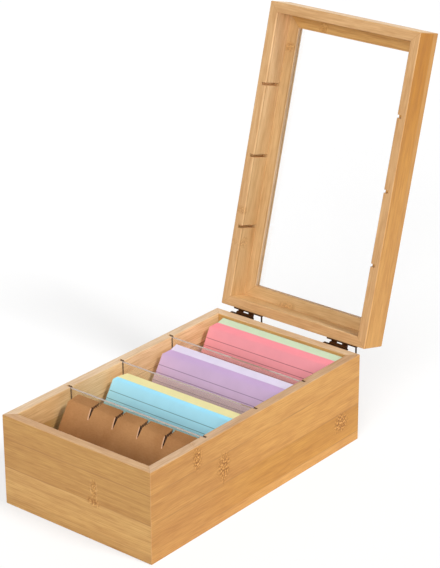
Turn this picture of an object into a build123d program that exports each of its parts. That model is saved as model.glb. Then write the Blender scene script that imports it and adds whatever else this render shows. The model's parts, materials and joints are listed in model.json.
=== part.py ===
"""Recipe card box of bamboo boards, for 3 x 5 in cards.

The box is four mitred walls round a let-in floor. Three clear dividers drop into grooves in its side walls,
and four leaning stacks of cards stand between them. The lid is a second mitred frame that carries four rails
and a clear window. Two surface hinges let it lean open against their stops.

Millimetres. X runs across the box, Y from the front to the hinges, Z up from the middle of the underside.
The lid's sketches are drawn where they lie with the lid shut, and on_lid swings their planes open.
"""
import os
from math import asin, cos, radians, sin, tan

from build123d import *

os.makedirs("parts", exist_ok=True)

# Cards
card_width = 127.0
card_height = 76.2
card_play = 6.0  # between a card's width and the side walls
card_side_gap = 0.7  # to the right wall
lean_gap = 0.3  # between a stack's top edge and what it leans towards
guide_narrower = 2.0  # guides than cards
guide_corner = 3.0
guide_count = 6
guide_thickness = 0.6
slot_count = 4
slot_pitch = 25.0
slot_width = 1.4
slot_depth = 9.4
guide_depth = 9.5  # of all the guides, front to back
second_depth = 17.6  # of the second stack from the front, and so on
third_depth = 17.8
rear_depth = 18.7
blue_depth = 5.5  # of a stack's front colour, and so on
purple_depth = 10.5
pink_depth = 11.2
guide_foot_gap = 14.3  # in front of the guides' feet, and so on
second_foot_gap = 1.0
third_foot_gap = 0.8
rear_foot_gap = 5.1

# Box
box_length = 260.0
box_height = 77.0  # underside to rim
wall = 8.5
edge_round = 0.8
floor_thickness = 5.0
floor_tongue = 4.0  # reach of the floor panel into each wall
panel_clearance = 0.1  # round the floor in its rebate and the pane in its groove

# Dividers
divider_count = 3
divider_thickness = 2.0
divider_clearance = 0.3  # on each side of a divider in its grooves
divider_drop = 1.0  # top of a divider below the rim
groove_depth = 4.3

# Lid
lid_wall_height = 19.4  # rim to ledge
lid_open_angle = 104.8  # shut to resting on the stops
rim_gap = 0.2  # between the two rims when shut
rail_width = 19.0
rail_thickness = 6.6
pane_thickness = 2.0
pane_ledge = 3.0  # rail left under the pane
pane_tongue = 5.0  # reach of the pane into each rail
opening_round = 0.5

# Hinges
hinge_inset = 26.0  # middle of a hinge from the box's side
leaf_length = 24.0
leaf_height = 12.0
leaf_thickness = 1.0
pin_setback = 3.6  # pin line behind the rear faces
pin_drop = 0.8  # pin line below the box's rim
pin_radius = 0.9
pin_clearance = 0.05
pin_overhang = 0.5
knuckle_radius = 1.9
knuckle_gap = 0.2  # between neighbouring knuckles
barrel_length = 16.5  # of the three knuckles
barrel_inset = 2.5  # barrel's right end from the leaves' right end
flange_height = 1.0
lid_leaf_rise = 0.4  # lid leaf above the box's rim when shut
arm_height = 3.0
arm_reach = 5.0  # stop arms beyond the leaves' right end
tongue_width = 1.0
tongue_thickness = 1.0
tongue_setback = 2.6  # front of the hanging stop tongue behind the pin line
tongue_drop = 5.4  # tip of the stop tongue below the pin line
tab_width = 3.0
tab_rise = 0.6  # stop tab above the tongue's tip

# Hinge screws
screw_spacing = 13.0
screw_radius = 1.2
screw_length = 6.8
screw_point = 1.6
screw_clearance = 0.05
screw_from_leaf_end = 5.2  # screw line from the far edge of its leaf
recess_width = 0.5
recess_length = 2.4
recess_depth = 0.5

# Worked out from the above
guide_width = card_width - guide_narrower
inner_width = card_width + card_play
box_width = inner_width + 2 * wall
inner_length = box_length - 2 * wall
divider_pitch = (inner_length + divider_thickness) / (divider_count + 1)
compartment_length = divider_pitch - divider_thickness
groove_width = divider_thickness + 2 * divider_clearance
hinge_spacing = box_width - 2 * hinge_inset
lid_rim = box_height + rim_gap
lid_ledge = lid_rim + lid_wall_height
pin_y = box_length / 2 + pin_setback
pin_z = box_height - pin_drop
shut_to_open = Pos(0, pin_y, pin_z) * Rot(X=-lid_open_angle) * Pos(0, -pin_y, -pin_z)


def on_lid(plane):
    """The plane where it lies once the lid has swung open."""
    return Plane(shut_to_open * plane.location)


lid_up = Axis((0, 0, 0), on_lid(Plane.XY).z_dir)
rear_face = Plane.XZ.offset(-box_length / 2)


def save(piece, name):
    """Labels a finished piece and writes it to its own file."""
    piece.label = name
    export_step(piece, f"parts/{name}.step")


# Boards: each frame is drawn whole and then cut into its four boards
box_sides = {"front": (0, -1), "rear": (0, 1), "left": (-1, 0), "right": (1, 0)}


def board_cuts(toward_x, toward_y):
    """The planes that the board on one side of the box lies on top of: its mitres and the box's middle."""
    mitres = [
        Plane(
            ((toward_x or end) * box_width / 2, (toward_y or end) * box_length / 2, 0),
            z_dir=(toward_x or -end, toward_y or -end, 0),
        )
        for end in (-1, 1)
    ]
    return [*mitres, Plane((0, 0, 0), z_dir=(toward_x, toward_y, 0))]


def save_boards(frame, swing, name):
    """Cuts a frame into its four boards. swing is the turn that the frame has from its shut place."""
    for side, direction in box_sides.items():
        with BuildPart() as board:
            add(frame)
            for cut in board_cuts(*direction):
                split(bisect_by=Plane(swing * cut.location))
        save(board.part, name.format(side))


def divider_places():
    """The middle of each divider's grooves, front to back."""
    return GridLocations(0, divider_pitch, 1, divider_count)


def screw_places():
    """Every hinge screw's place along a screw line: two at each hinge."""
    return [
        (hinge_side * hinge_spacing / 2 + screw_side * screw_spacing / 2, 0)
        for hinge_side in (-1, 1)
        for screw_side in (-1, 1)
    ]


# Hinge leaves, screw lines and stops, as heights when shut
box_leaf_top = pin_z + flange_height / 2
box_screw_z = box_leaf_top - leaf_height + screw_from_leaf_end
lid_leaf_bottom = box_height + lid_leaf_rise
lid_screw_z = lid_leaf_bottom + leaf_height - screw_from_leaf_end
box_screw_face = Plane((0, box_length / 2, box_screw_z), x_dir=(1, 0, 0), z_dir=(0, 1, 0))
lid_screw_face = on_lid(Plane((0, box_length / 2, lid_screw_z), x_dir=(1, 0, 0), z_dir=(0, 1, 0)))
pilot_depth = screw_length - leaf_thickness + screw_clearance

# Box walls
with BuildPart() as box_walls:
    with BuildSketch():
        RectangleRounded(box_width, box_length, edge_round)
        Rectangle(inner_width, inner_length, mode=Mode.SUBTRACT)
    extrude(amount=box_height)
    fillet(box_walls.faces().sort_by(Axis.Z)[-1].edges(), edge_round)
    fillet(box_walls.faces().sort_by(Axis.Z)[0].outer_wire().edges(), edge_round)
    with BuildSketch():
        Rectangle(inner_width + 2 * floor_tongue, inner_length + 2 * floor_tongue)
    extrude(amount=floor_thickness, mode=Mode.SUBTRACT)
    with BuildSketch(Plane.XY.offset(floor_thickness)):
        with divider_places():
            Rectangle(inner_width + 2 * groove_depth, groove_width)
    extrude(amount=box_height, mode=Mode.SUBTRACT)
    with Locations(box_screw_face):
        with Locations(*screw_places()):
            Hole(screw_radius + screw_clearance, pilot_depth)
save_boards(box_walls.part, Location(), "{}_wall")

with BuildPart() as floor_panel:
    with BuildSketch():
        Rectangle(
            inner_width + 2 * (floor_tongue - panel_clearance),
            inner_length + 2 * (floor_tongue - panel_clearance),
        )
    extrude(amount=floor_thickness)
save(floor_panel.part, "floor_panel")

# Dividers
for place, name in zip(divider_places(), ("front", "middle", "rear")):
    with BuildPart() as divider:
        with BuildSketch(Plane.XY.offset(floor_thickness)):
            with Locations(place.position):
                Rectangle(inner_width + 2 * (groove_depth - divider_clearance), divider_thickness)
        extrude(amount=box_height - divider_drop - floor_thickness)
    save(divider.part, f"{name}_divider")

# Lid walls
with BuildPart() as lid_walls:
    with BuildSketch(on_lid(Plane.XY.offset(lid_rim))):
        RectangleRounded(box_width, box_length, edge_round)
        Rectangle(inner_width, inner_length, mode=Mode.SUBTRACT)
    extrude(amount=lid_wall_height)
    fillet(lid_walls.faces().sort_by(lid_up)[0].edges(), edge_round)
    with BuildSketch(on_lid(Plane.XY.offset(lid_rim))):
        with divider_places():
            Rectangle(inner_width + 2 * groove_depth, groove_width)
    extrude(amount=lid_wall_height, mode=Mode.SUBTRACT)
    with Locations(lid_screw_face):
        with Locations(*screw_places()):
            Hole(screw_radius + screw_clearance, pilot_depth)
save_boards(lid_walls.part, shut_to_open, "lid_{}_wall")

# Lid rails and window
window_width = box_width - 2 * rail_width
window_length = box_length - 2 * rail_width
with BuildPart() as lid_rails:
    with BuildSketch(on_lid(Plane.XY.offset(lid_ledge))):
        RectangleRounded(box_width, box_length, edge_round)
        Rectangle(window_width, window_length, mode=Mode.SUBTRACT)
    extrude(amount=rail_thickness)
    fillet(lid_rails.faces().sort_by(lid_up)[-1].outer_wire().edges(), edge_round)
    fillet(lid_rails.faces().sort_by(lid_up)[-1].inner_wires().edges(), opening_round)
    fillet(lid_rails.faces().sort_by(lid_up)[0].inner_wires().edges(), opening_round)
    with BuildSketch(on_lid(Plane.XY.offset(lid_ledge + pane_ledge))):
        Rectangle(window_width + 2 * pane_tongue, window_length + 2 * pane_tongue)
    extrude(amount=pane_thickness + panel_clearance, mode=Mode.SUBTRACT)
save_boards(lid_rails.part, shut_to_open, "lid_{}_rail")

with BuildPart() as window_pane:
    with BuildSketch(on_lid(Plane.XY.offset(lid_ledge + pane_ledge))):
        Rectangle(
            window_width + 2 * (pane_tongue - panel_clearance),
            window_length + 2 * (pane_tongue - panel_clearance),
        )
    extrude(amount=pane_thickness)
save(window_pane.part, "window_pane")

# Hinges: the lid leaf has the barrel's two end knuckles and the box leaf the middle one
knuckle_pitch = barrel_length / 3
knuckle_length = knuckle_pitch - knuckle_gap
bore_radius = pin_radius + pin_clearance
flange_reach = pin_setback - bore_radius  # to just short of the pin
tongue_front = pin_y + tongue_setback
tongue_tip = pin_z - tongue_drop
tab_bottom = tongue_tip + tab_rise
arm_corner = on_lid(Plane((0, box_length / 2 + leaf_thickness, lid_leaf_bottom))).origin
arm_fall = (tongue_front - arm_corner.Y) / tan(radians(lid_open_angle))
tongue_top = arm_corner.Z + arm_fall + leaf_thickness / 2  # rooted halfway into the open arm
head_radius = screw_radius + leaf_thickness  # a 90 degree countersunk head as deep as the leaf
low_left = (Align.MIN, Align.MIN)
low_middle = (Align.CENTER, Align.MIN)


def countersinks(face):
    """The screw holes of every leaf on that face, for use inside a leaf's block."""
    with Locations(face):
        with Locations(*screw_places()):
            CounterSinkHole(
                screw_radius + screw_clearance,
                head_radius + screw_clearance,
                depth=2 * leaf_thickness,
                counter_sink_angle=90,
            )


def knuckle(start):
    """Adds one knuckle to a leaf: a ring round the pin line, from start along X."""
    with BuildSketch(Plane.YZ.offset(start)) as ring:
        with Locations((pin_y, pin_z)):
            Circle(knuckle_radius)
            Circle(bore_radius, mode=Mode.SUBTRACT)
    extrude(ring.sketch, amount=knuckle_length)


for side, middle in (("left", -hinge_spacing / 2), ("right", hinge_spacing / 2)):
    leaf_end = middle + leaf_length / 2
    arm_end = leaf_end + arm_reach
    barrel_start = leaf_end - barrel_inset - barrel_length
    first_knuckle, middle_knuckle, last_knuckle = (
        barrel_start + place * knuckle_pitch + knuckle_gap / 2 for place in range(3)
    )
    end_knuckles = (first_knuckle, last_knuckle)

    # The leaf on the box: plate, flange out to the barrel, and an arm whose tab stops the tongue
    with BuildPart() as box_leaf:
        with BuildSketch(rear_face):
            with Locations((middle, box_leaf_top)):
                Rectangle(leaf_length, leaf_height, align=(Align.CENTER, Align.MAX))
            with Locations((leaf_end, tab_bottom)):
                Rectangle(arm_reach + tab_width / 2, arm_height, align=(Align.MIN, Align.CENTER))
        extrude(amount=-leaf_thickness)
        with BuildSketch(Plane.XY.offset(pin_z - flange_height / 2)):
            with Locations((middle, box_length / 2)):
                Rectangle(leaf_length, flange_reach, align=low_middle)
            for start in end_knuckles:
                with Locations((start - knuckle_gap, box_length / 2 + leaf_thickness)):
                    Rectangle(knuckle_length + 2 * knuckle_gap, flange_reach, align=low_left, mode=Mode.SUBTRACT)
        extrude(amount=flange_height)
        with BuildSketch(Plane.XY.offset(tab_bottom)):
            with Locations((arm_end, box_length / 2)):
                Rectangle(tab_width, tongue_front - box_length / 2, align=low_middle)
        extrude(amount=leaf_thickness)
        knuckle(middle_knuckle)
        countersinks(box_screw_face.offset(leaf_thickness))
    save(box_leaf.part, f"{side}_hinge_box_leaf")

    # The leaf on the lid: plate, webs down to the end knuckles, and an arm with the stop tongue
    with BuildPart() as lid_leaf:
        with BuildSketch(on_lid(rear_face)):
            with Locations((middle, lid_leaf_bottom)):
                Rectangle(leaf_length, leaf_height, align=low_middle)
            with Locations((leaf_end, lid_leaf_bottom)):
                Rectangle(arm_reach + tongue_width / 2, arm_height, align=low_left)
        extrude(amount=-leaf_thickness)
        for start in end_knuckles:
            with BuildSketch(on_lid(Plane.YZ.offset(start))):
                with Locations((box_length / 2, pin_z + knuckle_radius)):
                    Rectangle(pin_setback, leaf_thickness, align=(Align.MIN, Align.MAX))
            extrude(amount=knuckle_length)
            knuckle(start)
        with BuildSketch(Plane.XZ.offset(-tongue_front)):
            with Locations((arm_end, tongue_tip)):
                Rectangle(tongue_width, tongue_top - tongue_tip, align=low_middle)
        extrude(amount=-tongue_thickness)
        countersinks(lid_screw_face.offset(leaf_thickness))
    save(lid_leaf.part, f"{side}_hinge_lid_leaf")

    with BuildPart() as hinge_pin:
        with BuildSketch(Plane.YZ.offset(barrel_start - pin_overhang)):
            with Locations((pin_y, pin_z)):
                Circle(pin_radius)
        extrude(amount=barrel_length + 2 * pin_overhang)
    save(hinge_pin.part, f"{side}_hinge_pin")

# Countersunk cross-head screws, one group in the box and one in the lid
stands_up = (Align.CENTER, Align.CENTER, Align.MIN)
hangs_down = (Align.CENTER, Align.CENTER, Align.MAX)
for face, name in ((box_screw_face, "box_hinge_screws"), (lid_screw_face, "lid_hinge_screws")):
    with BuildPart() as screws:
        with Locations(face.offset(leaf_thickness)):
            with Locations(*screw_places()):
                Cylinder(screw_radius, screw_length - screw_point, align=hangs_down)
        with Locations(face):
            with Locations(*screw_places()):
                Cone(screw_radius, head_radius, leaf_thickness, align=stands_up)
        with Locations(face.offset(leaf_thickness - screw_length)):
            with Locations(*screw_places()):
                Cone(0, screw_radius, screw_point, align=stands_up)
        with BuildSketch(face.offset(leaf_thickness)):
            with Locations(*screw_places()):
                Rectangle(recess_length, recess_width)
                Rectangle(recess_width, recess_length)
        extrude(amount=-recess_depth, mode=Mode.SUBTRACT)
    save(screws.part, name)


# Cards: a card's outline on its lean, carried straight back over the depth of the stack
card_right = inner_width / 2 - card_side_gap


def lean_of(depth, foot_gap):
    """How far a stack leans from upright, in radians, for its rear card's top to be near the next divider."""
    return asin((compartment_length - foot_gap - depth - lean_gap) / card_height)


def card_face(compartment, foot_gap, lean):
    """The front face of a card that stands foot_gap into a compartment: Y of this plane runs up the card."""
    foot = -inner_length / 2 + compartment * divider_pitch + foot_gap
    return Plane((0, foot, floor_thickness), x_dir=(1, 0, 0), z_dir=(0, -cos(lean), sin(lean)))


guide_lean = lean_of(guide_depth, guide_foot_gap)
guide_pitch = (guide_depth - guide_thickness) / (guide_count - 1)
with BuildPart() as kraft_guides:
    for guide in range(guide_count):
        with BuildSketch(card_face(0, guide_foot_gap + guide * guide_pitch, guide_lean)) as outline:
            with Locations((card_right - guide_width / 2, 0)):
                Rectangle(guide_width, card_height, align=low_middle)
                fillet(outline.vertices().group_by(Axis.Z)[-1], guide_corner)
            with Locations((card_right - guide_width / 2, card_height - slot_depth)):
                with GridLocations(slot_pitch, 0, slot_count, 1):
                    Rectangle(slot_width, slot_depth, align=low_middle, mode=Mode.SUBTRACT)
        extrude(amount=guide_thickness, dir=(0, 1, 0))
save(kraft_guides.part, "kraft_guides")

card_stacks = (
    # whole depth, foot gap, front colour and its depth, rear colour
    (second_depth, second_foot_gap, "blue", blue_depth, "yellow"),
    (third_depth, third_foot_gap, "purple", purple_depth, "lavender"),
    (rear_depth, rear_foot_gap, "pink", pink_depth, "green"),
)
for compartment, (depth, foot_gap, front, front_depth, rear) in enumerate(card_stacks, start=1):
    lean = lean_of(depth, foot_gap)
    for colour, start, end in ((front, 0, front_depth), (rear, front_depth, depth)):
        with BuildPart() as cards:
            with BuildSketch(card_face(compartment, foot_gap + start, lean)):
                with Locations((card_right, 0)):
                    Rectangle(card_width, card_height, align=(Align.MAX, Align.MIN))
            extrude(amount=end - start, dir=(0, 1, 0))
        save(cards.part, f"{colour}_cards")
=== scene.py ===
"""Recipe card box of laminated bamboo: its finishes, its paper and its light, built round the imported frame.

Metres, in the frame's own axes: X across the box, Y from the front to the hinges, Z up. Sizes that belong to
a craft, such as a bamboo strip's width or a ruled line, are in millimetres and say so in their names. Bamboo
is drawn where each board lies with the lid shut, so the lid's patterns are first swung back to there.
"""

import json
from collections import namedtuple
from math import acos, cos, pi, radians, sin

import bpy
import numpy as np
from mathutils import Matrix, Vector


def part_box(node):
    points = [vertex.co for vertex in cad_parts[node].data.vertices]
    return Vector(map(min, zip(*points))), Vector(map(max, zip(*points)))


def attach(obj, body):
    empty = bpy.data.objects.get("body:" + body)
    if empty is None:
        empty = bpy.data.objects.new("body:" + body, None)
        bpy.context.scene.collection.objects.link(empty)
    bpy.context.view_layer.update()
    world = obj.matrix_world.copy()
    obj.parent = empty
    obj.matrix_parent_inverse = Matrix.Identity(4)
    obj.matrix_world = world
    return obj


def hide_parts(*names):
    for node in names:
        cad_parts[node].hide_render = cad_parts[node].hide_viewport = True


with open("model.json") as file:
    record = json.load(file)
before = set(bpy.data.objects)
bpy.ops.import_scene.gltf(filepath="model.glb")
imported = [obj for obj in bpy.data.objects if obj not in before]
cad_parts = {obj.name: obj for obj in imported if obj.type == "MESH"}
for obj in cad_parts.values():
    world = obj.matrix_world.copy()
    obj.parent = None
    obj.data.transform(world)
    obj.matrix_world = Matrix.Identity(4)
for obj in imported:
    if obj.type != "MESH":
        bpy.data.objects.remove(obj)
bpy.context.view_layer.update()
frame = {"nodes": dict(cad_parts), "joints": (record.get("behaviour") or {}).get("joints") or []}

MM = 0.001
half_width_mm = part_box("front_wall")[1].x / MM
half_length_mm = -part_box("front_wall")[0].y / MM
lid_hinge = next(joint for joint in frame["joints"] if joint["name"] == "lid_hinge")
hinge_point = Vector(lid_hinge["pos_m"])
lid_closing_turn = radians(-lid_hinge["range_deg"][0])  # about X, from open to shut
card_height = 76.2 * MM  # of a 3 x 5 in card on its long edge


# ---------------------------------------------------------------- camera and lamps

def add_camera():
    """A long lens at arm's length and a half, above the front right corner."""
    azimuth, elevation, roll = radians(39.26), radians(23.20), radians(-0.17)
    target, distance = Vector((0.0345, 0.0, 0.1716)), 1.5825
    toward = Vector((sin(azimuth) * cos(elevation), -cos(azimuth) * cos(elevation), sin(elevation)))
    level = Vector((cos(azimuth), sin(azimuth), 0.0))
    above = toward.cross(level)
    right = cos(roll) * level + sin(roll) * above
    up = cos(roll) * above - sin(roll) * level
    data = bpy.data.cameras.new("camera")
    data.lens, data.sensor_width = 131.87, 36.0
    data.clip_start, data.clip_end = 0.05, 50.0
    camera = bpy.data.objects.new("camera", data)
    turn = Matrix((right, up, toward)).transposed().to_4x4()
    camera.matrix_world = Matrix.Translation(target + toward * distance) @ turn
    bpy.context.scene.collection.objects.link(camera)
    bpy.context.scene.camera = camera


def add_lamp(name, direction, strength, spread):
    """A far, broad, white lamp. spread is the angle in degrees that it fills, which softens its shadows."""
    data = bpy.data.lights.new(name, "SUN")
    data.energy, data.angle = strength, radians(spread)
    lamp = bpy.data.objects.new(name, data)
    lamp.matrix_world = Vector(direction).to_track_quat("Z", "Y").to_matrix().to_4x4()
    bpy.context.scene.collection.objects.link(lamp)


# ---------------------------------------------------------------- colours, nodes and meshes

COLOUR_A, COLOUR_B, MIXED_COLOUR = 6, 7, 2  # places of a Mix node's colour sockets


def linear(hex_colour):
    """An sRGB hex colour as linear red, green and blue, with a full alpha."""
    parts = [int(hex_colour[i : i + 2], 16) / 255 for i in (1, 3, 5)]
    return [c / 12.92 if c <= 0.04045 else ((c + 0.055) / 1.055) ** 2.4 for c in parts] + [1.0]


def node(tree, kind, inputs=None, out=0, **settings):
    """Adds a node, sets its properties and inputs, and returns one output. An input that is a socket is
    linked, a hex colour is turned to linear, and any other value is set as it stands."""
    made = tree.nodes.new("ShaderNode" + kind)
    for name, value in settings.items():
        setattr(made, name, value)
    for place, value in (inputs or {}).items():
        if isinstance(value, bpy.types.NodeSocket):
            tree.links.new(value, made.inputs[place])
        else:
            made.inputs[place].default_value = linear(value) if isinstance(value, str) else value
    return made.outputs[out] if made.outputs else made


def new_tree(name):
    """An empty material and its node tree."""
    material = bpy.data.materials.new(name)
    material.use_nodes = True
    material.node_tree.nodes.clear()
    return material, material.node_tree


def paint(node_name, material):
    """Gives a CAD node's object its finish."""
    for material_slot in frame["nodes"][node_name].material_slots:
        material_slot.material = material


def add_mesh(name, points, faces, material, uvs=None):
    """A mesh object from rows of points and lists of corners, with one UV pair for each corner."""
    mesh = bpy.data.meshes.new(name)
    mesh.from_pydata(points, [], faces)
    if uvs is not None:
        layer = mesh.uv_layers.new(name="sheet")
        layer.data.foreach_set("uv", np.asarray(uvs, np.float32).ravel())
    mesh.materials.append(material)
    piece = bpy.data.objects.new(name, mesh)
    bpy.context.scene.collection.objects.link(piece)
    return piece


# ---------------------------------------------------------------- room

FILL_LIGHT = 0.19  # what the white room gives the surfaces, as a share of how bright it looks
FLOOR_GLOW = 0.62  # share of pure white in the floor as it looks, the rest being lit paper that takes shadows


def seen_directly(tree):
    """1 for a ray that shows the camera something, straight, in a mirror or through glass, and else 0."""
    rays = node(tree, "LightPath").node
    seen = rays.outputs["Is Camera Ray"]
    for kind in ("Is Glossy Ray", "Is Transmission Ray"):
        seen = node(tree, "Math", {0: seen, 1: rays.outputs[kind]}, operation="MAXIMUM")
    return seen


def add_room():
    """A white room: even light from all round, a pale floor that keeps a soft shadow, and three lamps."""
    world = bpy.data.worlds.new("white_room")
    world.use_nodes = True
    tree = world.node_tree
    tree.nodes.clear()
    strength = node(tree, "MapRange", {"Value": seen_directly(tree), "To Min": FILL_LIGHT, "To Max": 1.0})
    light = node(tree, "Background", {"Color": "#FFFFFF", "Strength": strength})
    node(tree, "OutputWorld", {"Surface": light})
    bpy.context.scene.world = world

    material, tree = new_tree("matt_white_paper_sweep")
    paper = node(tree, "BsdfDiffuse", {"Color": "#FAFAFA", "Roughness": 0.4})
    white = node(tree, "Emission", {"Color": "#FFFFFF", "Strength": 1.0})
    share = node(tree, "MapRange", {"Value": seen_directly(tree), "To Min": 0.0, "To Max": FLOOR_GLOW})
    surface = node(tree, "MixShader", {0: share, 1: paper, 2: white})
    node(tree, "OutputMaterial", {"Surface": surface})
    reach = 8.0
    corners = [(-reach, -reach, 0.0), (reach, -reach, 0.0), (reach, reach, 0.0), (-reach, reach, 0.0)]
    add_mesh("floor", corners, [(0, 1, 2, 3)], material)

    # The one on the right is high, so that paper shades the left wall
    add_lamp("right_softbox", (0.85, 0.1, 0.9), strength=1.82, spread=14.0)
    add_lamp("front_softbox", (0.45, -1.0, 0.5), strength=1.82, spread=34.0)
    add_lamp("rear_softbox", (-0.6, 0.7, 0.6), strength=0.5, spread=60.0)


# ---------------------------------------------------------------- bamboo

STRIP_MM = 24.7  # width of one pressed strip
STRIP_SHIFT_MM = 900.0  # the most that one strip's fibres are shifted along it
WANDER_MM, CURL_MM = 1.1, 2.4  # the most that fibres bend sideways, anywhere and further inside a knot
RIDGE_GAP_MM, RIDGE_MM = 3.2, 1.2  # from a knot's middle to each of its two ridges, and half a ridge's width
GLUE_MM, MITRE_MM = 0.8, 0.6  # from the middle of a dark line to where it has faded out
FIBRE_SHADOW = "#D0B384"  # multiplies a strip's tone where its fibres are densest
GLUE_LINE = "#A9753D"
GROOVE_SHADE = "#4A2A10"  # painted shade on the sides of a box wall's sawn groove

# Tones of bamboo under a satin lacquer, from natural to steamed
STRAW, TAN, TOAST = "#D9AC67", "#D2A562", "#CA9A54"
HONEY, GOLD, AMBER = "#DFA95D", "#DAA254", "#D39A44"
CREAM, ORANGE, WHEAT = "#F1CB94", "#CB8A26", "#E0BC88"
CARAMEL, IVORY = "#D29B53", "#FCD8A8"
# A sawn edge, sanded through to the pith side
SAWN_DARK, SAWN_GREY, SAWN, SAWN_PALE = "#D5AB79", "#D8B289", "#E1B580", "#E7C9A4"

# Noises stretched along the fibres: broad bands, single fibres drawn three times coarser than they are, and
# short soft streaks. They darken from one value of the noise to another, by up to a strength
Pattern = namedtuple("Pattern", "name length_mm width_mm detail low high strength")
PATTERNS = (
    Pattern("bands", 90.0, 9.0, 2.0, low=0.40, high=0.66, strength=0.30),
    Pattern("fibres", 26.0, 0.75, 3.0, low=0.36, high=0.64, strength=0.42),
    Pattern("streaks", 14.0, 2.6, 2.0, low=0.46, high=0.72, strength=0.26),
)

# A knot's middle and size in millimetres, along its board and across it, and how strong its parting of the
# fibres, its brown and pale dashes and its two ridges are
Knot = namedtuple("Knot", "along across length height eye dashes ridge")


def shut_place(tree, in_lid):
    """A point's place in millimetres and how squarely its surface faces each axis, as they are with the lid
    shut, both as X, Y and Z."""
    turn = (lid_closing_turn if in_lid else 0.0, 0.0, 0.0)
    pivot = hinge_point / MM
    back = pivot - Matrix.Rotation(turn[0], 3, "X") @ pivot
    coordinates = node(tree, "TexCoord").node
    shut = node(tree, "Mapping", {0: coordinates.outputs["Object"], "Location": back, "Rotation": turn,
                                  "Scale": (1 / MM, 1 / MM, 1 / MM)})
    facing = node(tree, "Mapping", {0: coordinates.outputs["Normal"], "Rotation": turn}, vector_type="VECTOR")
    facing = node(tree, "VectorMath", {0: facing}, operation="ABSOLUTE")
    axes = node(tree, "SeparateXYZ", {0: shut}).node.outputs
    faces = node(tree, "SeparateXYZ", {0: facing}).node.outputs
    return axes, faces


def part_round_knots(tree, place, knots, sideways):
    """Fibres part in a knot by its eye times their distance from its middle, and curl a little. It returns
    how far they then lie sideways of straight, in millimetres, and the shares of dashes and of ridges."""
    curl = node(tree, "VectorMath", {0: place, 1: (1 / 5, 1 / 6, 1 / 6)}, operation="MULTIPLY")
    curl = node(tree, "TexNoise", {"Vector": curl, "Scale": 1.0, "Detail": 1.0})
    curl = node(tree, "MapRange", {"Value": curl, "To Min": -CURL_MM, "To Max": CURL_MM})
    dashed, ridged = 0.0, 0.0
    for knot in knots:
        off = node(tree, "VectorMath", {0: place, 1: (knot.along, knot.across, 0.0)}, operation="SUBTRACT")
        reach = node(tree, "VectorMath", {0: off, 1: (2 / knot.length, 2 / knot.height, 0.0)},
                     operation="MULTIPLY")
        reach = node(tree, "VectorMath", {0: reach}, out="Value", operation="LENGTH")
        reach = node(tree, "Math", {0: curl, 1: 0.14, 2: reach}, operation="MULTIPLY_ADD")
        near = node(tree, "MapRange", {"Value": reach, "From Min": 1.15, "From Max": 0.3},
                    interpolation_type="SMOOTHSTEP")
        off = node(tree, "SeparateXYZ", {0: off}).node.outputs
        parted = node(tree, "Math", {0: near, 1: off[1]}, operation="MULTIPLY")
        sideways = node(tree, "Math", {0: parted, 1: -knot.eye, 2: sideways}, operation="MULTIPLY_ADD")
        sideways = node(tree, "Math", {0: near, 1: curl, 2: sideways}, operation="MULTIPLY_ADD")
        patch = node(tree, "Math", {0: near, 1: knot.dashes}, operation="MULTIPLY")
        dashed = node(tree, "Math", {0: patch, 1: dashed}, operation="MAXIMUM")
        line = node(tree, "Math", {0: curl, 1: 0.3, 2: off[0]}, operation="MULTIPLY_ADD")
        line = node(tree, "Math", {0: line, 1: RIDGE_GAP_MM}, operation="PINGPONG")
        line = node(tree, "MapRange", {"Value": line, "From Min": RIDGE_GAP_MM - RIDGE_MM,
                                       "From Max": RIDGE_GAP_MM, "To Max": knot.ridge})
        line = node(tree, "Math", {0: near, 1: line}, operation="MULTIPLY")
        ridged = node(tree, "Math", {0: line, 1: ridged}, operation="MAXIMUM")
    return sideways, dashed, ridged


def strip_tones(tree, from_edge, strips):
    """Each strip's own tone, one after another from the board's first edge."""
    share = node(tree, "Math", {0: from_edge, 1: STRIP_MM * len(strips)}, operation="DIVIDE")
    tones = node(tree, "ValToRGB", {0: share})
    ramp = tones.node.color_ramp
    ramp.interpolation = "CONSTANT"
    for index in range(len(ramp.elements), len(strips)):
        ramp.elements.new(index / len(strips))
    for index, tone in enumerate(strips):
        ramp.elements[index].position, ramp.elements[index].color = index / len(strips), linear(tone)
    return tones


def darken_fibres(tree, shade, fibre_place):
    """Darkens a tone by every pattern, and returns it with the pattern of single fibres."""
    noises = {}
    for pattern in PATTERNS:
        stretch = (1 / pattern.length_mm, 1 / pattern.width_mm, 0.8 / pattern.width_mm)
        stretched = node(tree, "VectorMath", {0: fibre_place, 1: stretch}, operation="MULTIPLY")
        noise = node(tree, "TexNoise", {"Vector": stretched, "Scale": 1.0, "Detail": pattern.detail})
        dense = node(tree, "MapRange", {"Value": noise, "From Min": pattern.low, "From Max": pattern.high,
                                        "To Max": pattern.strength})
        shade = node(tree, "Mix", {0: dense, COLOUR_A: shade, COLOUR_B: FIBRE_SHADOW}, out=MIXED_COLOUR,
                     data_type="RGBA", blend_type="MULTIPLY")
        noises[pattern.name] = noise
    return shade, noises["fibres"]


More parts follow.
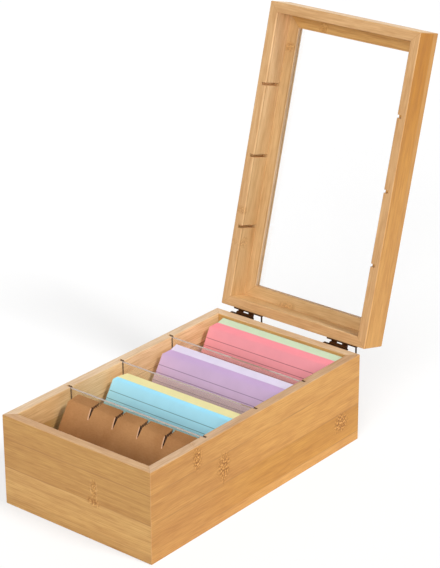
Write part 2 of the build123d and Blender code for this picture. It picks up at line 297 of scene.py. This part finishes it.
def stipple_knots(tree, shade, place, dashed, ridged):
    """Knots: a warmer patch stippled with brown and pale, and two pale ridges across it."""
    stipple = node(tree, "VectorMath", {0: place, 1: (1 / 1.3, 1 / 1.8, 1 / 1.5)}, operation="MULTIPLY")
    stipple = node(tree, "TexNoise", {"Vector": stipple, "Scale": 1.0, "Detail": 1.0})
    for none_at, all_at, strength, share, tone in (
        (0.0, 0.1, 0.5, dashed, "#C4852F"), (0.48, 0.58, 1.0, dashed, "#8E5410"),
        (0.44, 0.34, 0.7, dashed, "#F2BE74"), (0.0, 0.1, 0.7, ridged, "#E8C084"),
    ):
        mark = node(tree, "MapRange", {"Value": stipple, "From Min": none_at, "From Max": all_at,
                                       "To Max": strength})
        mark = node(tree, "Math", {0: mark, 1: share}, operation="MULTIPLY")
        shade = node(tree, "Mix", {0: mark, COLOUR_A: shade, COLOUR_B: tone}, out=MIXED_COLOUR,
                     data_type="RGBA")
    return shade


def mitre_line(tree, axes):
    """The share of a mitre's thin dark line, which is where a point is as far in from one side of the frame
    as from the other."""
    inward = []
    for axis, half in ((0, half_width_mm), (1, half_length_mm)):
        size = node(tree, "Math", {0: axes[axis]}, operation="ABSOLUTE")
        inward.append(node(tree, "Math", {0: half, 1: size}, operation="SUBTRACT"))
    off_mitre = node(tree, "Math", {0: inward[0], 1: inward[1]}, operation="SUBTRACT")
    off_mitre = node(tree, "Math", {0: off_mitre}, operation="ABSOLUTE")
    return node(tree, "MapRange", {"Value": off_mitre, "From Min": MITRE_MM, "From Max": 0.1, "To Max": 0.3})


def bamboo(board, grain, strips, first_edge, sawn, flat=False, knots=(), drift=None, seed=0.0):
    """Flat-pressed bamboo, sawn, glued edge to edge and sanded under a satin lacquer. It gives the eye strips
    of slightly different tan, long brown fibres, thin glue lines, and now and then a node across one strip,
    where the fibres part round an eye, two pale ridges cross them, and they break into brown and pale dashes.
    grain is the axis that the fibres follow, X or Y. strips are the strips' tones, from the first edge on,
    and sawn is the tone of the board's long edges. flat is true where the board lies flat, so that its strips
    lie side by side across it, and false where it stands and they lie one above another. drift is (from, to,
    tone), a slow change of tone along the board. seed sets its fibres apart from the other boards'."""
    material, tree = new_tree("flat_pressed_bamboo_" + board)
    in_lid = board.startswith("lid_")
    axes, faces = shut_place(tree, in_lid)
    along, side = (0, 1) if grain == "X" else (1, 0)
    across, depth = (side, 2) if flat else (2, side)
    place = node(tree, "CombineXYZ", {0: axes[along], 1: axes[across], 2: axes[depth]})

    # Fibres wander slowly sideways, and part round knots
    slow = node(tree, "VectorMath", {0: place, 1: (1 / 60, 1 / 15, 1 / 15)}, operation="MULTIPLY")
    slow = node(tree, "TexNoise", {"Vector": slow, "Scale": 1.0, "Detail": 1.0})
    sideways = node(tree, "MapRange", {"Value": slow, "To Min": -WANDER_MM, "To Max": WANDER_MM})
    if knots:
        sideways, dashed, ridged = part_round_knots(tree, place, knots, sideways)

    # Strips, and the paler sawn edge, which has none. Rounded corners are painted halfway to that tone, a
    # painted highlight where the rounding catches the light
    from_edge = node(tree, "Math", {0: axes[across], 1: first_edge}, operation="SUBTRACT")
    tones = strip_tones(tree, from_edge, strips)
    if drift is not None:
        start, end, other = drift
        share = node(tree, "MapRange", {"Value": axes[along], "From Min": start, "From Max": end})
        tones = node(tree, "Mix", {0: share, COLOUR_A: tones, COLOUR_B: other}, out=MIXED_COLOUR,
                     data_type="RGBA")
    edge = node(tree, "MapRange", {"Value": faces[across], "From Min": 0.6, "From Max": 0.8})
    flattest = node(tree, "Math", {0: faces[0], 1: faces[1]}, operation="MAXIMUM")
    flattest = node(tree, "Math", {0: flattest, 1: faces[2]}, operation="MAXIMUM")
    # Painted highlight: oblique, rounded surfaces are mixed halfway to the sawn tone
    rounding_highlight = node(tree, "MapRange", {"Value": flattest, "From Min": 0.98, "From Max": 0.85, "To Max": 0.5})
    # sanded holds the sawn edge's own tone together with that painted highlight
    sanded = node(tree, "Math", {0: edge, 1: rounding_highlight}, operation="MAXIMUM")
    shade = node(tree, "Mix", {0: sanded, COLOUR_A: tones, COLOUR_B: sawn}, out=MIXED_COLOUR,
                 data_type="RGBA")

    # Fibres start elsewhere in each strip
    strip = node(tree, "Math", {0: from_edge, 1: STRIP_MM}, operation="SNAP")
    strip = node(tree, "Math", {0: strip, 1: seed}, operation="ADD")
    chance = node(tree, "TexWhiteNoise", {"W": strip}, noise_dimensions="1D")
    along_strip = node(tree, "Math", {0: chance, 1: STRIP_SHIFT_MM, 2: axes[along]}, operation="MULTIPLY_ADD")
    across_fibres = node(tree, "Math", {0: axes[across], 1: sideways}, operation="ADD")
    fibre_place = node(tree, "CombineXYZ", {0: along_strip, 1: across_fibres, 2: axes[depth]})
    shade, fibres = darken_fibres(tree, shade, fibre_place)

    # Glue lines between strips, darker in some places than in others
    glue = node(tree, "Math", {0: from_edge, 1: STRIP_MM / 2}, operation="PINGPONG")
    glue = node(tree, "MapRange", {"Value": glue, "From Min": GLUE_MM, "From Max": 0.2})
    patchy = node(tree, "MapRange", {"Value": slow, "From Min": 0.35, "From Max": 0.65, "To Min": 0.1,
                                     "To Max": 0.7})
    glue = node(tree, "Math", {0: glue, 1: patchy}, operation="MULTIPLY")
    unsawn = node(tree, "Math", {0: 1.0, 1: edge}, operation="SUBTRACT")
    glue = node(tree, "Math", {0: glue, 1: unsawn}, operation="MULTIPLY")
    shade = node(tree, "Mix", {0: glue, COLOUR_A: shade, COLOUR_B: GLUE_LINE}, out=MIXED_COLOUR,
                 data_type="RGBA")
    if knots:
        shade = stipple_knots(tree, shade, place, dashed, ridged)

    # Painted shade: the sides of a box wall's groove, which cut across the fibres, are painted dark, standing
    # for the shade deep in the groove. The lid's are not, as light reaches them.
    # cut is the share of painted groove shade
    cut = node(tree, "MapRange", {"Value": faces[along], "From Min": 0.8, "From Max": 0.95,
                                  "To Max": 0.0 if in_lid else 0.85})
    shade = node(tree, "Mix", {0: cut, COLOUR_A: shade, COLOUR_B: GROOVE_SHADE}, out=MIXED_COLOUR, data_type="RGBA")
    shade = node(tree, "Mix", {0: mitre_line(tree, axes), COLOUR_A: shade, COLOUR_B: GLUE_LINE},
                 out=MIXED_COLOUR, data_type="RGBA")

    gloss = node(tree, "MapRange", {"Value": fibres, "To Min": 0.56, "To Max": 0.42})
    relief = node(tree, "Bump", {"Strength": 0.12, "Distance": 0.06 * MM, "Height": fibres})
    surface = node(tree, "BsdfPrincipled", {"Base Color": shade, "Roughness": gloss, "Normal": relief})
    node(tree, "OutputMaterial", {"Surface": surface})
    return material


STANDING, LID = 8.2 - STRIP_MM, 79.0 - STRIP_MM  # heights of the first strip's lower edge
boards = {
    "front_wall": dict(
        grain="X", strips=(TAN, STRAW, TOAST, TOAST), first_edge=STANDING, sawn=SAWN_DARK,
        knots=(
            Knot(18.5, 44.5, 11.0, 20.0, eye=0.3, dashes=0.5, ridge=0.45),
            Knot(18.0, 33.5, 15.0, 9.0, eye=0.0, dashes=0.6, ridge=0.0),
        ),
    ),
    "rear_wall": dict(
        grain="X", strips=(TAN, STRAW, TAN, STRAW), first_edge=STANDING, sawn=SAWN_PALE,
        knots=(Knot(-38.0, 45.0, 11.0, 22.0, eye=0.9, dashes=0.5, ridge=0.4),),
    ),
    "left_wall": dict(
        grain="Y", strips=(TOAST, TAN, TAN, CREAM), first_edge=STANDING, sawn=SAWN_PALE,
        knots=(Knot(-60.0, 69.0, 10.0, 18.0, eye=1.0, dashes=0.3, ridge=0.2),),
        drift=(-90.0, -30.0, IVORY),
    ),
    "right_wall": dict(
        grain="Y", strips=(HONEY, AMBER, GOLD, HONEY), first_edge=STANDING, sawn=SAWN_GREY,
        knots=(
            Knot(-76.5, 66.5, 13.0, 23.0, eye=0.2, dashes=0.95, ridge=0.0),
            Knot(-45.5, 47.0, 18.0, 29.0, eye=0.3, dashes=0.9, ridge=0.0),
            Knot(105.0, 24.5, 22.0, 20.0, eye=0.3, dashes=0.95, ridge=0.0),
        ),
        drift=(0.0, -75.0, CARAMEL),
    ),
    "floor_panel": dict(
        grain="Y", flat=True, strips=(STRAW, TAN, STRAW, TAN, STRAW, TAN), first_edge=-74.0, sawn=SAWN,
        knots=(Knot(30.0, 0.0, 10.0, 20.0, eye=1.0, dashes=0.5, ridge=0.3),),
    ),
    "lid_front_wall": dict(grain="X", strips=(STRAW, CREAM), first_edge=LID, sawn=SAWN),
    "lid_rear_wall": dict(grain="X", strips=(CREAM, CREAM), first_edge=LID, sawn=SAWN),
    "lid_left_wall": dict(
        grain="Y", strips=(WHEAT, WHEAT), first_edge=LID, sawn=SAWN,
        knots=(
            Knot(75.0, 84.0, 11.0, 13.0, eye=1.9, dashes=0.25, ridge=0.0),
            Knot(47.0, 78.0, 8.0, 6.0, eye=1.5, dashes=0.3, ridge=0.0),
        ),
        # Painted light: paler toward the lid's front end, to lift the shade that the open lid's front wall
        # casts on the inner face there
        drift=(10.0, -110.0, IVORY),
    ),
    "lid_right_wall": dict(
        grain="Y", strips=(ORANGE, ORANGE), first_edge=LID, sawn=SAWN, drift=(-80.0, 90.0, HONEY),
    ),
    "lid_front_rail": dict(
        grain="X", flat=True, strips=(STRAW, TAN), first_edge=-137.0, sawn=SAWN,
        knots=(Knot(-31.0, -115.0, 10.0, 12.0, eye=1.6, dashes=0.4, ridge=0.0),),
    ),
    "lid_rear_rail": dict(
        grain="X", flat=True, strips=(WHEAT, TAN), first_edge=100.0, sawn=SAWN,
        knots=(Knot(-21.0, 120.0, 22.0, 9.0, eye=1.9, dashes=0.35, ridge=0.2),),
    ),
    "lid_left_rail": dict(
        grain="Y", flat=True, strips=(WHEAT, WHEAT), first_edge=-82.0, sawn=SAWN_PALE,
        knots=(Knot(-94.0, -62.0, 10.0, 12.0, eye=1.5, dashes=0.4, ridge=0.0),),
    ),
    "lid_right_rail": dict(grain="Y", flat=True, strips=(GOLD, GOLD), first_edge=50.0, sawn=CARAMEL),
}
for index, (board, looks) in enumerate(boards.items()):
    paint(board, bamboo(board, seed=31.0 * index, **looks))


# ---------------------------------------------------------------- clear acrylic

def clear_acrylic(name, tint, clearness, edge_tint, edge_clearness):
    """Cast acrylic sheet with polished faces: almost no colour, and lamps shine through it, so that what
    stands behind it keeps its light. Rubbing leaves a faint haze on a face, and a sawn edge catches the light
    as a pale line: clearness is the share of light that each of them lets through."""
    material, tree = new_tree("cast_clear_acrylic_" + name)
    facing = node(tree, "TexCoord", out="Normal")
    facing = node(tree, "VectorMath", {0: facing}, operation="ABSOLUTE")
    facing = node(tree, "SeparateXYZ", {0: facing}, out=1)
    edge = node(tree, "MapRange", {"Value": facing, "From Min": 0.7, "From Max": 0.5})
    through = node(tree, "MapRange", {"Value": edge, "To Min": clearness, "To Max": edge_clearness})
    shade = node(tree, "Mix", {0: edge, COLOUR_A: tint, COLOUR_B: edge_tint}, out=MIXED_COLOUR,
                 data_type="RGBA")
    glass = node(tree, "BsdfPrincipled", {"Base Color": shade, "Roughness": 0.02, "IOR": 1.49,
                                          "Transmission Weight": through})
    clear = node(tree, "BsdfTransparent", {"Color": tint})
    rays = node(tree, "LightPath").node
    lamp_rays = node(tree, "Math", {0: rays.outputs["Is Shadow Ray"], 1: rays.outputs["Is Diffuse Ray"]},
                     operation="MAXIMUM")
    surface = node(tree, "MixShader", {0: lamp_rays, 1: glass, 2: clear})
    node(tree, "OutputMaterial", {"Surface": surface})
    return material


divider_acrylic = clear_acrylic("divider", "#F9F5E9", clearness=0.95, edge_tint="#F2D8C6", edge_clearness=0.6)
window_acrylic = clear_acrylic("window", "#FFFFFF", clearness=1.0, edge_tint="#FFFFFF", edge_clearness=1.0)
for sheet_node in ("front_divider", "middle_divider", "rear_divider"):
    paint(sheet_node, divider_acrylic)
paint("window_pane", window_acrylic)


# ---------------------------------------------------------------- hinges

def bronzed_steel():
    """Pressed steel, plated and oil-rubbed to a dark bronze: a soft dark gloss with browner worn patches."""
    material, tree = new_tree("pressed_steel_bronzed")
    spot = node(tree, "TexCoord", out="Object")
    patches = node(tree, "TexNoise", {"Vector": spot, "Scale": 420.0, "Detail": 3.0})
    shade = node(tree, "Mix", {0: patches, COLOUR_A: "#1C0D05", COLOUR_B: "#5E3A1E"}, out=MIXED_COLOUR,
                 data_type="RGBA")
    gloss = node(tree, "MapRange", {"Value": patches, "To Min": 0.28, "To Max": 0.5})
    surface = node(tree, "BsdfPrincipled", {"Base Color": shade, "Metallic": 1.0, "Roughness": gloss})
    node(tree, "OutputMaterial", {"Surface": surface})
    return material


bronze = bronzed_steel()
for side in ("left", "right"):
    for part in ("box_leaf", "lid_leaf", "pin"):
        paint(f"{side}_hinge_{part}", bronze)
for screws in ("box_hinge_screws", "lid_hinge_screws"):
    paint(screws, bronze)


# ---------------------------------------------------------------- cards

HEADER_MM = 9.4  # top edge of a card to its first ruled line
RULE_PITCH_MM = 6.4
RULE_MM = 0.42  # a printed hairline is about 0.2, too fine to show
CARD_BOW_MM = 0.35  # how far a card's middle stands forward
CARD_FILL = 0.92  # of the room that a card has in its stack, taken up by paper
CARD_MARGIN_MM = 0.5  # room at a stack's left end, which only the most uneven cards reach into
# The most that a card is out of line with the others: its foot, as a share of the pitch, its top and its ends
UNEVEN_FOOT, UNEVEN_TOP_MM, UNEVEN_END_MM = 0.06, 0.12, 0.5
SECTION_ROWS = 5  # of points up each face of a card
NO_RULE_MM = -20.0  # a place on the map above any line


def card_paper(name, sheet, line):
    """Index card, calendered and dyed through, printed with hairlines: an even matt colour with faint
    clouding, thin darker lines on its faces and none on its cut edges. The UV map gives millimetres across
    the card and millimetres down from its top edge."""
    material, tree = new_tree("index_card_" + name)
    spot = node(tree, "TexCoord").node
    clouds = node(tree, "TexNoise", {"Vector": spot.outputs["Object"], "Scale": 90.0, "Detail": 3.0})
    clouds = node(tree, "MapRange", {"Value": clouds, "To Min": 0.94, "To Max": 1.06})
    shade = node(tree, "Mix", {0: 1.0, COLOUR_A: sheet, COLOUR_B: clouds}, out=MIXED_COLOUR,
                 data_type="RGBA", blend_type="MULTIPLY")
    down = node(tree, "SeparateXYZ", {0: spot.outputs["UV"]}, out=1)
    from_header = node(tree, "Math", {0: down, 1: HEADER_MM}, operation="SUBTRACT")
    from_rule = node(tree, "Math", {0: from_header, 1: RULE_PITCH_MM / 2}, operation="PINGPONG")
    rule = node(tree, "MapRange", {"Value": from_rule, "From Min": RULE_MM, "From Max": RULE_MM / 3})
    below_header = node(tree, "Math", {0: from_header, 1: -RULE_MM}, operation="GREATER_THAN")
    rule = node(tree, "Math", {0: rule, 1: below_header}, operation="MULTIPLY")
    shade = node(tree, "Mix", {0: rule, COLOUR_A: shade, COLOUR_B: line}, out=MIXED_COLOUR, data_type="RGBA")
    grain = node(tree, "TexNoise", {"Vector": spot.outputs["Object"], "Scale": 2600.0, "Detail": 2.0})
    relief = node(tree, "Bump", {"Strength": 0.2, "Distance": 0.02 * MM, "Height": grain})
    surface = node(tree, "BsdfPrincipled", {"Base Color": shade, "Roughness": 0.82, "Normal": relief})
    node(tree, "OutputMaterial", {"Surface": surface})
    return material


def add_cards(colour, body, count, sheet, line, seed, fan=0.0):
    """One colour's cards, standing on the floor of the box and leaning back. Each card's section is a closed
    loop round a thin, slightly bowed strip: up the front at a height h it stands bow * sin(pi * h / height)
    forward of straight. The section is carried straight along X. fan is how many degrees more upright the
    last card stands than the first, with its foot further back and its top no further."""
    node_name = colour + "_cards"
    low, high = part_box(node_name)
    lean = acos((high.z - low.z) / card_height)
    depth = (high.y - low.y) - card_height * sin(lean)
    pitch = depth / count
    thickness = CARD_FILL * pitch * cos(lean)
    chance = np.random.default_rng(seed)
    rows = np.linspace(0.0, card_height, SECTION_ROWS)
    steps = np.r_[rows, rows[::-1]]
    behind = np.r_[np.zeros(SECTION_ROWS), np.full(SECTION_ROWS, thickness)]
    bow = CARD_BOW_MM * MM * np.sin(pi * steps / card_height)
    foot = low.y + pitch * (np.arange(count) + UNEVEN_FOOT * chance.uniform(0.0, 1.0, count))
    leans = lean - radians(fan) * np.linspace(0.0, 1.0, count)[:, None]
    foot = foot[:, None] + card_height * (sin(lean) - np.sin(leans))
    lift = thickness * np.sin(leans) + UNEVEN_TOP_MM * MM * chance.uniform(0.0, 1.0, (count, 1)) ** 2
    section_y = foot + steps * np.sin(leans) + (behind - bow) * np.cos(leans)
    section_z = low.z + lift + steps * np.cos(leans) - (behind - bow) * np.sin(leans)
    shift = -UNEVEN_END_MM * MM * chance.uniform(0.0, 1.0, count) ** 3
    ends = np.stack([low.x + CARD_MARGIN_MM * MM + shift, high.x + shift], 1)
    points = np.empty((count, 2, steps.size, 3))
    points[..., 0] = ends[:, :, None]
    points[..., 1] = section_y[:, None, :]
    points[..., 2] = section_z[:, None, :]

    # Faces: one quad for each side of the section, and its two ends
    corner = np.arange(steps.size)
    following = np.roll(corner, -1)
    sides = np.stack([corner, corner + steps.size, following + steps.size, following], 1)
    one_card = sides.tolist() + [corner.tolist(), (corner[::-1] + steps.size).tolist()]
    faces = [[place + 2 * steps.size * card for place in face] for card in range(count) for face in one_card]
    down = (card_height - steps) / MM
    on_face = ~np.isin(following, (0, SECTION_ROWS))
    start, end = np.where(on_face, down, NO_RULE_MM), np.where(on_face, down[following], NO_RULE_MM)
    left, right = np.full((2, steps.size), (ends[0, :, None] - low.x) / MM)
    sides_map = np.stack([left, start, right, start, right, end, left, end], 1).reshape(-1, 2)
    ends_map = np.tile((0.0, NO_RULE_MM), (2 * steps.size, 1))
    uvs = np.tile(np.vstack([sides_map, ends_map]), (count, 1))
    paper = card_paper(colour, sheet, line)
    piece = add_mesh(colour + "_card_stack", points.reshape(-1, 3), faces, paper, uvs)
    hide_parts(node_name)
    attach(piece, body)


add_cards("blue", "second_stack", count=16, sheet="#ADE9FC", line="#6FA3AE", seed=11)
add_cards("yellow", "second_stack", count=36, sheet="#F2EBB7", line="#B5A56C", seed=12, fan=-2.0)
add_cards("purple", "third_stack", count=31, sheet="#D2B6DA", line="#9A7FA6", seed=13)
add_cards("lavender", "third_stack", count=21, sheet="#E4DCED", line="#A89CB8", seed=14, fan=3.2)
add_cards("pink", "rear_stack", count=34, sheet="#FAA2AC", line="#BE6F78", seed=15)
add_cards("green", "rear_stack", count=22, sheet="#D5E2C6", line="#94AD82", seed=16, fan=2.8)


# ---------------------------------------------------------------- kraft guides

GUIDES = 6
GUIDE_MM, GUIDE_GAP_MM = 0.45, 0.6  # a sheet's thickness, and the room left behind the last
GUIDE_CORNER_MM = 3.0
FIRST_BOW_MM, LESS_BOW_MM = 2.4, 0.35  # how far the first sheet bows forward, and how much less each next one
UPRIGHT, TWIST = 0.010, 0.003  # radians that each next sheet stands straighter, and more so on the right
SLOT_SHADE_MM, LIP_HIGHLIGHT_MM = 1.3, 0.7  # widths left of a slot and below it: of painted shade, standing for the deep shade between the sheets, and of a pale painted highlight beside the first sheet's slots, as where a raised cut edge catches the light
SLOT_SHADE_SHIFT_MM = 0.9  # how far the painted slot shade lies to the right, from the third sheet on
UNMARKED_MM = 0.9  # left plain at a sheet's top edge
FIRST_SHEET_MM = 20.0  # where the first sheet's map starts, further down than the others'
SLOT_PITCH_MM, SLOT_WIDTH_MM, SLOT_DEPTH_MM, SLOTS = 25.0, 2.6, 9.4, 4
CORNER_COLUMNS, MIDDLE_COLUMNS = 6, 26  # of a sheet's grid, across each rounded corner and between them
LOWER_ROWS, UPPER_ROWS = 9, 4  # of the grid, up to the slots' feet and on up to the top edge


def kraft_board():
    """Unbleached kraft board, rolled: mid brown, with soft clouds and a few short fibres pressed into it. Its
    wedge-shaped slots carry painted shade, standing for the deep shade between the sheets, on every sheet but
    the first, which has a pale painted highlight beside them instead, as on a raised lip catching the light.
    The UV map gives millimetres from a slot's middle line and millimetres down from the top."""
    material, tree = new_tree("unbleached_kraft_board")
    coordinates = node(tree, "TexCoord").node
    spot = coordinates.outputs["Object"]
    clouds = node(tree, "TexNoise", {"Vector": spot, "Scale": 45.0, "Detail": 4.0})
    flecks = node(tree, "VectorMath", {0: spot, 1: (500.0, 900.0, 900.0)}, operation="MULTIPLY")
    flecks = node(tree, "TexNoise", {"Vector": flecks, "Scale": 1.0, "Detail": 2.0})
    tone = node(tree, "Math", {0: flecks, 1: 0.35, 2: clouds}, operation="MULTIPLY_ADD")
    shade = node(tree, "ValToRGB", {0: tone})
    stops = shade.node.color_ramp.elements
    for stop, (position, colour) in zip(stops, ((0.45, "#A87443"), (0.95, "#C18E5A"))):
        stop.position, stop.color = position, linear(colour)
    sheet = node(tree, "SeparateXYZ", {0: coordinates.outputs["UV"]}).node.outputs
    # Painted shade in the slots of every sheet behind the first, and a pale painted highlight beside the
    # first sheet's slots
    for colour, width, top in (("#2A1206", SLOT_SHADE_MM, 0.0), ("#DDAE88", LIP_HIGHLIGHT_MM, FIRST_SHEET_MM)):
        marked = node(tree, "Math", {0: sheet[0], 1: -0.5 * SLOT_WIDTH_MM - width}, operation="GREATER_THAN")
        for value, limit, side in (
            (sheet[0], 0.5 * SLOT_WIDTH_MM, "LESS_THAN"), (sheet[1], top + UNMARKED_MM, "GREATER_THAN"),
            (sheet[1], top + SLOT_DEPTH_MM + width, "LESS_THAN"),
        ):
            inside = node(tree, "Math", {0: value, 1: limit}, operation=side)
            marked = node(tree, "Math", {0: marked, 1: inside}, operation="MULTIPLY")
        shade = node(tree, "Mix", {0: marked, COLOUR_A: shade, COLOUR_B: colour}, out=MIXED_COLOUR,
                     data_type="RGBA")
    relief = node(tree, "Bump", {"Strength": 0.2, "Distance": 0.03 * MM, "Height": flecks})
    surface = node(tree, "BsdfPrincipled", {"Base Color": shade, "Roughness": 0.8, "Normal": relief})
    node(tree, "OutputMaterial", {"Surface": surface})
    return material


def add_guides():
    """Six slotted guide sheets. Each is a grid over its width and height, which leaves out the cells of its
    slots, and a slot widens as the square root of the height above its foot. The top edge falls by
    r - sqrt(r * r - d * d) near a corner, d into the corner's rounding, and the sheet bows forward by
    bow * sin(pi * h / height). The rear sheets stand more upright, and more so at their right end."""
    low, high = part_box("kraft_guides")
    lean = acos((high.z - low.z) / card_height)
    depth = (high.y - low.y) - card_height * sin(lean)
    sheet_thickness = GUIDE_MM * MM
    pitch = (depth - GUIDE_GAP_MM * MM) / (GUIDES - 1)
    middle = (low.x + high.x) / 2
    slot_centres = middle + SLOT_PITCH_MM * MM * (np.arange(SLOTS) - (SLOTS - 1) / 2)
    half_slot = SLOT_WIDTH_MM * MM / 2
    slot_sides = np.stack([slot_centres - half_slot, slot_centres + half_slot], 1)

    # Columns of the grid, close together at the corners, and one on each side of a slot
    corner = GUIDE_CORNER_MM * MM
    rounding = corner * (1 - np.cos(np.linspace(0.0, pi / 2, CORNER_COLUMNS)))
    between = np.linspace(low.x + corner, high.x - corner, MIDDLE_COLUMNS)
    clear_of_slots = (np.abs(between[:, None] - slot_centres) > 2 * half_slot).all(1)
    columns = np.sort(np.r_[low.x + rounding[:-1], high.x - rounding[:-1], between[clear_of_slots],
                            slot_sides.ravel()])
    into = np.maximum(np.maximum(low.x + corner - columns, columns - high.x + corner), 0.0)
    top = card_height - (corner - np.sqrt(corner**2 - np.minimum(into, corner) ** 2))

    # Rows, as heights up the sheet: level below the slots, and beside them following the top edge
    slot_floor = card_height - SLOT_DEPTH_MM * MM
    lower = np.linspace(0.0, slot_floor, LOWER_ROWS)
    upper = slot_floor + np.linspace(0.0, 1.0, UPPER_ROWS + 1)[1:, None] * (top - slot_floor)
    heights = np.vstack([np.repeat(lower[:, None], len(columns), 1), upper])
    nearest = slot_centres[np.abs(columns[:, None] - slot_centres).argmin(1)]
    off_slot = columns - nearest
    beside = np.abs(off_slot) < 1.5 * half_slot
    opening = np.sqrt(np.clip((heights - slot_floor) / (card_height - slot_floor), 0.01, 1.0))
    places = nearest + off_slot * np.where(beside, opening, 1.0)

    # Cells, without the slots' own, and how far each of their corners is from the nearest slot
    centre = (columns[:-1] + columns[1:]) / 2
    in_slot = (np.abs(centre[:, None] - slot_centres) < half_slot / 2).any(1)
    row, column = np.meshgrid(np.arange(len(heights) - 1), np.arange(len(columns) - 1), indexing="ij")
    keep = ~((row >= LOWER_ROWS - 1) & in_slot[column])
    first = (row * len(columns) + column)[keep]
    quads = np.stack([first, first + 1, first + 1 + len(columns), first + len(columns)], 1)
    own_slot = slot_centres[np.abs(centre[:, None] - slot_centres).argmin(1)][column[keep]]
    from_slot = (columns[quads % len(columns)] - own_slot[:, None]) / MM

    points, faces, uvs = [], [], []
    for guide in range(GUIDES):
        bow = (FIRST_BOW_MM - LESS_BOW_MM * guide) * MM * np.sin(pi * heights / card_height)
        across = (places - middle) / (high.x - middle)
        tilt = lean - guide * (UPRIGHT + TWIST * across)
        top_y = low.y + card_height * sin(lean) + guide * pitch
        sheet = np.empty(heights.shape + (3,))
        sheet[..., 0] = places
        sheet[..., 1] = top_y + (heights - card_height) * np.sin(tilt) - bow * np.cos(tilt)
        sheet[..., 2] = low.z + sheet_thickness * sin(lean) + heights * np.cos(tilt) + bow * np.sin(tilt)
        points.append(sheet.reshape(-1, 3))
        faces.append(quads + guide * heights.size)
        map_top = 0.0 if guide else FIRST_SHEET_MM
        # From the third sheet on, the painted slot shade lies further right
        slot_shade_shift = SLOT_SHADE_SHIFT_MM if guide > 1 else 0.0
        down = (card_height - heights.ravel()[quads]) / MM + map_top
        uvs.append(np.stack([from_slot - slot_shade_shift, down], -1).reshape(-1, 2))
    piece = add_mesh("kraft_guide_sheets", np.vstack(points), np.vstack(faces).tolist(), kraft_board(),
                     np.vstack(uvs))
    wall = piece.modifiers.new("thickness", "SOLIDIFY")
    wall.thickness, wall.offset = sheet_thickness, -1.0
    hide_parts("kraft_guides")
    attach(piece, "guides")


add_guides()
add_room()
add_camera()
bpy.context.scene.view_settings.view_transform = "Standard"
